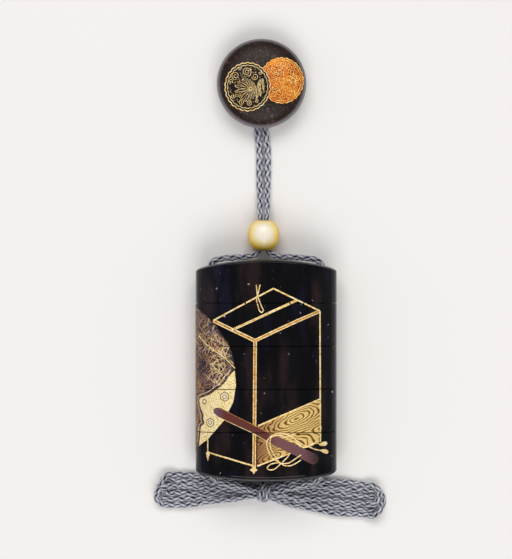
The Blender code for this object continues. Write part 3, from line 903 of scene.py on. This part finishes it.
def laid_area(name, outline, height, material, place=on_wall, base=-0.04, cuts=joints):
    """A flat-edged area of lacquer: its outline is filled, cut into narrow strips and at the joints, made
    thick and laid on its surface. Its flat places are kept as UVs, in millimetres."""
    mesh = bmesh.new()
    mesh.faces.new([mesh.verts.new((*p, base)) for p in outline])

    def slice_at(spot, across):
        every = mesh.verts[:] + mesh.edges[:] + mesh.faces[:]
        bmesh.ops.bisect_plane(mesh, geom=every, plane_co=spot, plane_no=across)

    low, high = np.min(outline, axis=0), np.max(outline, axis=0)
    for x in np.arange(low[0] + strip_width, high[0], strip_width):
        slice_at((x, 0, 0), (1, 0, 0))
    if place is not on_wall:
        for y in np.arange(low[1] + strip_width, high[1], strip_width):
            slice_at((0, y, 0), (0, 1, 0))
    for joint in cuts:
        for edge in (-picture_cut / 2, picture_cut / 2):
            slice_at((0, (joint + edge) / MM, 0), (0, 1, 0))
        gap = [f for f in mesh.faces if abs(f.calc_center_median().y - joint / MM) < picture_cut / MM / 2]
        bmesh.ops.delete(mesh, geom=gap, context="FACES")
    lower = mesh.faces[:]
    grown = bmesh.ops.extrude_face_region(mesh, geom=lower, use_keep_orig=True)
    for vert in (v for v in grown["geom"] if isinstance(v, bmesh.types.BMVert)):
        vert.co.z = height
    flat = mesh.loops.layers.uv.new("flat")
    for face in mesh.faces:
        for loop in face.loops:
            loop[flat].uv = loop.vert.co.xy
    for vert, spot in zip(mesh.verts[:], place([v.co for v in mesh.verts])):
        vert.co = spot
    data = bpy.data.meshes.new(name)
    mesh.to_mesh(data)
    mesh.free()
    laid_piece(name, data, material)


def gold_powder(name, tones, scale=900.0):
    """Gold powder sprinkled on wet lacquer, which leaves a grain and thinner places. The grain is drawn
    coarser than the powder's, so that it shows."""
    made = finish_material(name, Roughness=0.45, Metallic=0.3)
    place = add_node(made, "TexCoord").outputs["Object"]
    grain = add_node(made, "TexNoise", {"Vector": place, "Scale": scale, "Detail": 6.0})
    add_node(made, "ValToRGB", {"Fac": grain}, tones, to="Base Color")
    add_node(made, "Bump", {"Height": grain, "Strength": 0.35, "Distance": 0.05 * MM}, to="Normal")
    return made


pale_gold = gold_powder("Pale gold powder", [(0.32, "#D79E45"), (0.46, "#F5D182"), (0.62, "#FFEFC0")])
deep_gold = gold_powder("Brown-gold powder", [(0.3, "#84501C"), (0.5, "#B77D30"), (0.7, "#DDAA52")])
leaf_tones = [(0.34, "#CE9C40"), (0.44, "#F4D484"), (0.56, "#FFF2C4")]
fan_gold = gold_powder("Sprinkled gold leaf ground", leaf_tones, 1900.0)

# The box frame: its top, its legs and the rails between them
back_edge = ((-20.9, 19.4), (-13, 23.6), (-5.1, 27.8), (2.8, 31.9), (11.7, 27.6), (21.2, 23.1))
near_left = ((-20.9, 19.4), (-12.6, 15.5), (-4.4, 11.6))
near_right = ((-4.4, 11.6), (3.8, 15.5), (12.3, 19.4), (21.2, 23.1))
cross_bar = ((-13.3, 15.8), (-4.9, 19.6), (3.4, 23.5), (11.8, 27.3))
front_leg = ((-4.35, 11.5), (-4.5, -11.4), (-4.75, -38.6))
right_leg = ((21.2, 23.1), (21.4, -28))
left_leg = ((-23.3, -27), (-23.3, -32.1))
left_rail = ((-23.1, -32), (-14.1, -34.4), (-5.5, -36.9))
right_rail = ((-3.5, -37.1), (8.8, -32.3), (20.7, -27.6))
panel = (
    (-3.2, -21.5), (4.8, -18), (12.8, -14.6), (21.1, -11.2), (21, -27.9), (12.6, -30.9), (4.4, -34),
    (-3.7, -37.2),
)
left_foot = ((-24, -32), (-22.2, -31.9), (-22.6, -33.4), (-23.2, -35.4), (-23.8, -33.5))
finial = ((-6.4, -38.7), (-4.9, -37.2), (-3.4, -38.7), (-4.3, -39.3), (-4.9, -40.3), (-5.4, -39.3))
tie = (
    (-3.9, 33.4), (-3.5, 29.4), (-3.8, 27.1), (-2.7, 23.3), (-1.8, 22.5), (-1.1, 23.3), (-2.4, 26.3),
    (-3.4, 29), (-2.4, 33.4),
)


def beside(points, offset):
    """The same flat line moved sideways."""
    points = np.array(points, float)
    step = np.gradient(points, axis=0)
    step /= np.linalg.norm(step, axis=1, keepdims=True)
    return points + np.stack([-step[:, 1], step[:, 0]], axis=1) * offset


deep = Brushwork()
deep.line(near_left, 1.3, height=0.05).line(near_right, 1.2, height=0.05).line(front_leg, 1.25, height=0.05)
deep.finish("picture_frame_filling", deep_gold)
pale = Brushwork()
pale.line(back_edge, 0.58).line(cross_bar, 0.95).line(right_leg, 0.6).line(left_leg, 0.5)
pale.line(left_rail, 0.6).line(right_rail, 0.6).line(panel[:4], 0.55)
for line, apart in ((near_left, 0.5), (near_right, 0.45), (front_leg, 0.5)):
    for offset in (-apart, apart):
        pale.line(beside(line, offset), 0.38)
pale.line(tie, 0.45, height=0.16)
pale.finish("picture_frame_lines", pale_gold)
# The left half of the cross bar is lashed: short slanting strokes in brown, set evenly along it
lashing_step = 0.9
lashing_turns = 15
lashing = Brushwork()
for i in range(lashing_turns):
    x = cross_bar[0][0] + 1.2 + lashing_step * i
    y = np.interp(x, *zip(*cross_bar))
    lashing.line(((x - 0.25, y - 0.42), (x + 0.3, y + 0.45)), 0.2, base=0.08, height=0.05)
lashing.finish("picture_frame_lashing", deep_gold)
laid_area("picture_finial", finial, 0.12, pale_gold)
laid_area("picture_left_foot", left_foot, 0.1, pale_gold)

# The board at the foot of the frame, in gold with its wood grain drawn in brown: wandering rings, drawn out
# along the board round two middles. Its scales and places are in millimetres, as its UVs are.
grained = finish_material("Gold board with drawn grain", Roughness=0.45, Metallic=0.45)
flat = add_node(grained, "UVMap", uv_map="flat")
turned = add_node(grained, "Mapping", {"Vector": flat, "Location": (-12.0, 18.6, 0.0)})
tilted = add_node(grained, "Mapping", {"Vector": turned, "Rotation": (0, 0, math.radians(-23))})
drawn_out = add_node(grained, "Mapping", {"Vector": tilted, "Scale": (0.34, 1.0, 1.0)})
wander = add_node(grained, "TexNoise", {"Vector": flat, "Scale": 0.28, "Detail": 2.0})
first_middle = add_node(grained, "VectorMath", {0: drawn_out}, operation="LENGTH")
second_middle = add_node(grained, "VectorMath", {0: drawn_out, 1: (-4.6, -10.0, 0.0)}, operation="DISTANCE")
nearer = add_node(grained, "Math", {0: first_middle, 1: second_middle, 2: 1.5}, operation="SMOOTH_MIN")
wandered = add_node(grained, "Math", {0: wander, 1: 1.5, 2: nearer}, operation="MULTIPLY_ADD")
rings = add_node(grained, "Math", {0: wandered, 1: 8.2}, operation="MULTIPLY")
wave = add_node(grained, "Math", {0: rings}, operation="SINE")
grain_tones = [(0.0, "#E9CB7E"), (0.3, "#CBA048"), (0.7, "#9C6E2A"), (0.95, "#583412")]
drawn_grain = add_node(grained, "ValToRGB", {"Fac": wave}, grain_tones)
# The board is darker and redder towards its foot and its left end.
apart = add_node(grained, "SeparateXYZ", {"Vector": flat})
to_foot = add_node(grained, "MapRange", {"Value": apart, "From Min": 9.0, "From Max": -3.0})
foot_share = add_node(grained, "Math", {0: to_foot, 1: 0.8}, operation="MULTIPLY")
darkened = {0: foot_share, 6: drawn_grain, 7: colour("#8E4E1C")}
add_node(grained, "Mix", darkened, to="Base Color", data_type="RGBA", blend_type="MULTIPLY")
laid_area("picture_board", panel, 0.04, grained)

# The stick: a thin part with a rounded cap and a thicker handle, in red-brown and purple-brown lacquer
thin_part = (
    (-19.6, -14.5), (-17.5, -14.7), (-5.4, -21.1), (2.7, -25.3), (2, -28.4), (-5.6, -23.9),
    (-19.1, -17.9), (-20.8, -16.4), (-20.7, -15.2),
)
handle = (
    (2, -25), (3.1, -25), (14.7, -30.4), (19.5, -32.6), (20.7, -34.2), (20.1, -35.9), (18.5, -36.7),
    (16.9, -36.1), (10.5, -32.7), (2.6, -28.8), (1.3, -27),
)
red_brown = finish_material("Red-brown lacquer", Roughness=0.35)
flat = add_node(red_brown, "UVMap", uv_map="flat")
apart = add_node(red_brown, "SeparateXYZ", {"Vector": flat})
streak = add_node(red_brown, "TexNoise", {"Vector": flat, "Scale": 1.1, "Detail": 4.0})
along_stick = add_node(red_brown, "Math", {0: streak, 1: 6.0, 2: apart}, operation="MULTIPLY_ADD")
share = add_node(red_brown, "MapRange", {"Value": along_stick, "From Min": -18.0, "From Max": 24.0})
cap_tones = [(0.02, "#6A4A58"), (0.13, "#5C1F14"), (0.5, "#591A0D")]
handle_tones = [(0.6, "#724644"), (0.85, "#6A4044"), (0.97, "#321719")]
add_node(red_brown, "ValToRGB", {"Fac": share}, cap_tones + handle_tones, to="Base Color")
laid_area("picture_stick", thin_part, 0.14, red_brown)
laid_area("picture_handle", handle, 0.2, red_brown)
for label, edge, gold in (
    ("upper", ((-18.6, -14.5), (-5.4, -20.9), (2.4, -25)), deep_gold),
    ("lower", ((-19.4, -17.9), (-5.6, -24.1), (1.6, -28.3)), pale_gold),
):
    Brushwork().line(edge, 0.2, base=0.1, height=0.08).finish(f"picture_stick_{label}_edge", gold)

# The cord on the stick, in loops that end in two drops
loops = (
    (
        (0.3, -27.4), (1.6, -25.7), (3.7, -24.6), (6.2, -24.4), (8.8, -25.1), (11.6, -27),
        (14.7, -29.1), (16.9, -29.8), (19.1, -30.7), (22.3, -31.4),
    ),
    (
        (1.4, -27.6), (2, -25.9), (5.4, -25.2), (8.4, -26.4), (10.9, -27.8), (14.9, -29.9), (18, -29),
        (19.5, -28.3), (21.6, -28.9),
    ),
    (
        (0.1, -27.4), (0.3, -29.5), (1.2, -32.2), (2.9, -34.5), (5.2, -35.6), (5.8, -36.1),
        (7.1, -36.9), (9.6, -36.9), (11.8, -35.9), (13.5, -34.8),
    ),
    (
        (1.4, -27.8), (1.6, -29.7), (2.7, -32.2), (4, -34.1), (5.4, -35.8), (8.4, -36), (10.9, -34.6),
        (13.5, -32.8),
    ),
    (
        (5.8, -35.9), (5.2, -36.6), (2.9, -38.4), (1, -38.5), (0.3, -37.9), (1.4, -36.6), (3.5, -35.9),
        (5.8, -35.9),
    ),
    ((6.2, -35.6), (8.2, -33.7), (9, -32.5)),
)


def eased(points, step=0.4):
    """A flat line rounded through its points."""
    return smooth_line([(x, y, 0.0, 1.0) for x, y in points], step)[0][:, :2]


looped = Brushwork()
for loop in loops:
    looped.line(eased(loop), 0.42, base=0.16, height=0.12)
looped.finish("picture_loops", pale_gold)


def petal(middle, angle, near, far, half_width):
    """A long drop-shaped outline, pointing away from the middle and widest near its far end."""
    share = np.linspace(0, 2 * math.pi, 21)
    along = near + (far - near) * (1 - np.cos(share)) / 2
    across = half_width * np.sin(share) * (0.5 + 0.5 * (1 - np.cos(share)) / 2)
    cos, sin = math.cos(angle), math.sin(angle)
    return np.stack([middle[0] + along * cos - across * sin, middle[1] + along * sin + across * cos], axis=1)


for label, end, lean in (("lower", (21.4, -31.1), -15), ("upper", (20.8, -29.0), 9)):
    outline = [tuple(p) for p in petal(end, math.radians(lean), 0.0, 3.6, 1.05)[:-1]]
    laid_area(f"picture_drop_{label}", outline, 0.16, pale_gold)

# The fan: dark ribs under gold sprays, and a gold ground with a wavy edge and small crests. It runs on round
# the case's left side, where it ends in a plain edge.
fan_right = (
    (-30.2, 25.2), (-25.6, 22.5), (-21.7, 19.6), (-18.6, 15.8), (-14.9, 10.6), (-12.9, 5.2),
    (-12.2, 0.6),
)
fan_edge = (
    (-12.3, 0.3), (-14.9, -2.4), (-15.8, -3.9), (-18, -6.2), (-19.5, -7.2), (-21.8, -8.9),
    (-24.8, -10.2), (-27.4, -11.1),
)
fan_wave = (
    (-27.4, -11.1), (-27.6, -12.7), (-26.7, -15.2), (-25.4, -17.5), (-25.6, -18.9), (-25, -20.6),
    (-26.7, -22.1), (-27.1, -24.6), (-28, -29.9),
)
fan_low = ((-23.3, -27), (-16.8, -19.8), (-12.9, -12.4), (-11.8, -5.6))
fan_back = ((-33, -32.5), (-39, -30), (-43.5, -20), (-45, -6), (-44.5, 8), (-41, 20), (-36, 25.8))
dark_fan = finish_material("Dark brown lacquer with gold dust", Roughness=0.45)
flat = add_node(dark_fan, "UVMap", uv_map="flat")
sideways = add_node(dark_fan, "Mapping", {"Vector": flat, "Rotation": (0, 0, 0.7), "Scale": (0.5, 1.6, 1.0)})
dust = add_node(dark_fan, "TexNoise", {"Vector": sideways, "Scale": 1.3, "Detail": 6.0})
cloud = add_node(dark_fan, "TexNoise", {"Vector": flat, "Scale": 0.16, "Detail": 2.0})
both = add_node(dark_fan, "Math", {0: cloud, 1: 0.7, 2: dust}, operation="MULTIPLY_ADD")
dust_tones = [(0.72, "#0B0810"), (0.86, "#1C1119"), (0.95, "#3A2320"), (1.0, "#6E4A2A")]
add_node(dark_fan, "ValToRGB", {"Fac": both}, dust_tones, to="Base Color")
dark_outline = fan_right + fan_edge[1:] + fan_wave[1:] + fan_back
gold_outline = fan_edge + fan_wave[1:] + fan_low
laid_area("picture_fan_ribs", dark_outline, 0.03, dark_fan)
laid_area("picture_fan_ground", gold_outline, 0.07, fan_gold)


def around(middle, reach, angle, squash=1.0):
    """Flat places so far from a middle, at angles round it, narrowed across by a share."""
    return np.stack([middle[0] + squash * reach * np.cos(angle), middle[1] + reach * np.sin(angle)], axis=1)


def is_inside(outline, spot):
    """Whether a flat place lies inside an outline."""
    inside = False
    for (x1, y1), (x2, y2) in zip(outline, outline[1:] + outline[:1]):
        if (y1 > spot[1]) != (y2 > spot[1]) and spot[0] < x1 + (spot[1] - y1) * (x2 - x1) / (y2 - y1):
            inside = not inside
    return inside


def nearness(spot, middle, spread):
    """1 at a flat place, falling softly to 0 round it."""
    return math.exp(-(((spot[0] - middle[0]) / spread[0]) ** 2) - (((spot[1] - middle[1]) / spread[1]) ** 2))


# Fine strokes lie over the dark part in a few directions. They crowd near the ribs' middle in bright gold,
# leave one small place nearly bare, and are fewer in gold near the top.
chance = np.random.RandomState(7)
strokes_tried = 4200
stroke_leans = [-42, -42, 38, 62, 85, 15]
lilac = finish_material("Lilac-brown drawing line", Base_Color="#8A6E72", Roughness=0.45)
vermilion = finish_material("Vermilion line", Base_Color="#9A3A22", Roughness=0.4)
fine_gold, bright_gold, lilac_lines, red_lines = Brushwork(), Brushwork(), Brushwork(), Brushwork()
for i in range(strokes_tried):
    start = np.array([chance.uniform(-45, -12), chance.uniform(-30, 26)])
    angle = math.radians(chance.choice(stroke_leans) + chance.normal(0, 12))
    end = start + chance.uniform(1.0, 4.2) * np.array([math.cos(angle), math.sin(angle)])
    if all(is_inside(dark_outline, start + (end - start) * s) for s in (0, 0.25, 0.5, 0.75, 1)):
        clustered = nearness(start, (-19, 4), (6, 13))
        pick = chance.uniform() + nearness(start, (-27.5, 2.5), (3.5, 3.0))
        if pick < 0.05 + 0.55 * clustered:
            brush = bright_gold
        elif pick < (0.26 if start[1] > 12 else 0.42):
            brush = fine_gold
        elif pick < 0.7:
            brush = lilac_lines
        else:
            brush = red_lines if 0.955 < pick < 1 else None
        if brush:
            brush.line((start, end), chance.uniform(0.07, 0.15 + 0.08 * clustered), base=0.03, height=0.04)
bright_gold.line(((-28.1, 13.5), (-22.1, 8.7), (-16.7, 5.3), (-12.2, 0.9)), 0.35, base=0.03, height=0.08)
bright_gold.line(((-22.9, 12.7), (-20.1, 11.6)), 0.3, base=0.03, height=0.08)
fine_gold.finish("picture_fan_sprays", deep_gold)
bright_gold.finish("picture_fan_bright_sprays", pale_gold)
lilac_lines.finish("picture_fan_lilac_lines", lilac)
red_lines.finish("picture_fan_red_lines", vermilion)

# The gold ground's edging, a dark line and a white one, and its small crests
chalk_white = finish_material("Chalk-white lacquer", Base_Color="#E6D6B8", Roughness=0.5)
brown_line = finish_material("Brown drawing line", Base_Color="#4A2C1A", Roughness=0.5)
border = eased(fan_edge + fan_wave[1:], 0.5)
Brushwork().line(border, 0.35, base=0.05, height=0.06).finish("picture_fan_dark_edge", brown_line)
white, drawn = Brushwork(), Brushwork()
white.line(beside(border, -1.1)[2:-3], 0.22, base=0.03, height=0.07)
for middle, radius in (((-16.3, -10.2), 1.75), ((-22.2, -20.4), 1.65), ((-24.8, -12.3), 0.9)):
    angle = np.linspace(0, 2 * math.pi, 41)
    reach = radius * (0.86 + 0.14 * abs(np.sin(3 * angle)))
    ring = around(middle, reach, angle)
    drawn.line(ring, 0.3, base=0.06, height=0.06)
    if radius > 1:
        drawn.line((ring - middle) * 0.45 + middle, 0.22, base=0.06, height=0.06)
        for turn in range(6):
            out = np.array([math.cos(turn * math.pi / 3 + 0.5), math.sin(turn * math.pi / 3 + 0.5)])
            leaf = (middle + out * 0.1 * radius, middle + out * 0.72 * radius)
            white.line(leaf, 0.55, base=0.04, height=0.05)
drawn.finish("picture_crests", brown_line)
white.finish("picture_fan_white", chalk_white)

# Roundels on the netsuke
# Two scalloped discs in gold relief on the toggle's domed face: a dark one with a flower and curling leaves,
# lying over an orange-gold one that is covered with swirls. Places are in millimetres from its middle. The
# discs slope away with the dome, and so are a little narrower across than along.
narrowed = 0.94
fine_step = 0.3
scallop_depth = 0.4
dark_top = 0.18
clearance = 0.3


def on_dome(rows):
    """Flat rows of x, y and height, in millimetres from the netsuke's middle, laid on its face."""
    x, y, height = (np.array(rows, float) * MM).T

    def level(r):
        share = 1 - np.minimum(r / netsuke_radius, 0.999) ** face_squareness
        return netsuke_rim + rise * share ** (1 / face_squareness)

    r = np.hypot(x, y)
    slope = (level(r + 0.01 * MM) - level(r)) / (0.01 * MM)
    out = 1 / np.sqrt(1 + slope * slope)
    away = -slope * out / np.maximum(r, 1e-6)
    grown = 1 + away * height
    across, along = netsuke_middle[0] + x * grown, netsuke_middle[1] + y * grown
    return np.stack([across, along, level(r) + out * height], axis=1)


def fine_steps(points):
    return [spaced(np.array(points, float), fine_step, rounding=int)[0]]


def scalloped(middle, radius, deep, count=26):
    angle = np.linspace(0, 2 * math.pi, count * 8 + 1)
    return around(middle, radius + deep * abs(np.sin(count * angle / 2)), angle, narrowed)


def spiral(middle, radius, start, turns, way=1):
    share = np.linspace(0, 1, int(22 * turns) + 4)
    angle = math.radians(start) + way * 2 * math.pi * turns * share
    return around(middle, radius * (1 - 0.82 * share), angle)


def clear_of(points, middle, radius):
    """The runs of a line's fine steps that lie outside a circle."""
    runs, run = [], []
    for spot in fine_steps(points)[0]:
        if math.dist(spot, middle) > radius:
            run.append(spot)
        elif run:
            runs.append(run)
            run = []
    runs.append(run)
    return [r for r in runs if len(r) > 2]


orange_middle = (7.9, 0.75)
orange_radius = 8.6
dark_middle = (-5.45, -1.75)
dark_radius = 9.1
orange_gold = finish_material("Orange-gold lacquer relief", Roughness=0.4, Metallic=0.3)
place = add_node(orange_gold, "TexCoord").outputs["Object"]
patchy = add_node(orange_gold, "TexNoise", {"Vector": place, "Scale": 180.0, "Detail": 4.0})
orange_tones = [(0.36, "#983208"), (0.5, "#C4540C"), (0.62, "#DC7E16")]
add_node(orange_gold, "ValToRGB", {"Fac": patchy}, orange_tones, to="Base Color")
orange_line = gold_powder("Orange-gold powder", [(0.36, "#EE8E24"), (0.48, "#FBC048"), (0.6, "#FFE48A")])
dark_ground = finish_material(
    "Dark roundel ground", Base_Color="#1A0E0C", Roughness=0.4, Specular_IOR_Level=0.2
)
orange_rim = [tuple(p) for p in scalloped(orange_middle, orange_radius, scallop_depth)[:-1]]
dark_rim = [tuple(p) for p in scalloped(dark_middle, dark_radius, scallop_depth)[:-1]]
laid_area("roundel_orange", orange_rim, 0.12, orange_gold, place=on_dome, cuts=())
laid_area("roundel_dark", dark_rim, 0.2, dark_ground, place=on_dome, cuts=())
swirls = Brushwork(on_dome, fine_steps)
for inset, width in ((0.0, 0.36), (0.85, 0.3)):
    rim_line = scalloped(orange_middle, orange_radius - inset, scallop_depth)
    for run in clear_of(rim_line, dark_middle, dark_radius + clearance):
        swirls.line(run, width, base=0.1, height=0.16)
chance = np.random.RandomState(3)
for ring, count in ((6.6, 19), (4.9, 14), (3.2, 9), (1.4, 4)):
    for i in range(count):
        angle = 2 * math.pi * (i + 0.5 * (count % 2)) / count
        across, along = narrowed * ring * math.cos(angle), ring * math.sin(angle)
        middle = (orange_middle[0] + across, orange_middle[1] + along)
        curl = spiral(middle, 1.15, chance.uniform(0, 360), 1.4, chance.choice([-1, 1]))
        for run in clear_of(curl, dark_middle, dark_radius + clearance):
            swirls.line(run, 0.3, base=0.1, height=0.22)
swirls.finish("roundel_swirls", orange_line)
flower = Brushwork(on_dome, fine_steps)
flower.line(scalloped(dark_middle, dark_radius, scallop_depth), 0.36, base=dark_top, height=0.16)
flower.line(scalloped(dark_middle, dark_radius - 0.95, 0.35), 0.26, base=dark_top, height=0.14)
bloom = (-4.3, -2.6)
bloom_reach = 4.2
petals = 19
for i in range(petals):
    angle = 2 * math.pi * i / petals
    reach = 2.4 + 3.9 * ((1 + math.cos(angle - math.radians(195))) / 2) ** 1.2
    flower.line(petal(bloom, angle, 0.35, reach, 0.12 + 0.07 * reach), 0.15, base=dark_top)
for x, y, radius, start, turns, way in (
    (-5.9, 4.0, 1.9, 300, 1.9, 1), (-10.2, 2.6, 1.6, 250, 1.6, -1), (-2.6, 2.2, 1.4, 200, 1.5, 1),
    (-12.1, 0.5, 0.9, 300, 1.3, 1), (-8.1, -7.7, 1.2, 80, 1.5, -1), (-4.7, -8.2, 1.1, 100, 1.5, 1),
    (-11.2, -5.4, 1.0, 40, 1.4, -1), (-2.0, -7.4, 0.8, 130, 1.3, -1), (-8.4, 5.2, 0.8, 10, 1.3, 1),
    (-0.6, 3.6, 0.8, 80, 1.3, -1),
):
    flower.line(spiral((x, y), radius, start, turns, way), 0.2, base=dark_top)
for x, y, lean, reach, half_width in (
    (-1.9, -6.4, 80, 7.4, 0.75), (-0.4, -5.6, 98, 5.2, 0.55), (0.8, -3.2, 96, 4.6, 0.45),
):
    leaf = petal((x, y), math.radians(lean), 0.0, reach, half_width)
    flower.line(leaf, 0.2, base=dark_top)
    flower.line((leaf[0], leaf[len(leaf) // 2]), 0.14, base=dark_top)
# Small curved strokes fill the ground between the curls
chance = np.random.RandomState(11)
small_strokes = 150
for i in range(small_strokes):
    angle, far = chance.uniform(0, 2 * math.pi), chance.uniform(3.0, 7.6)
    across, along = narrowed * far * math.cos(angle), far * math.sin(angle)
    spot = np.array([dark_middle[0] + across, dark_middle[1] + along])
    if math.dist(spot, bloom) > bloom_reach:
        stroke = spiral(spot, 0.45, chance.uniform(0, 360), 0.35, chance.choice([-1, 1]))
        flower.line(stroke, 0.14, base=0.17)
flower.finish("roundel_flower", pale_gold)
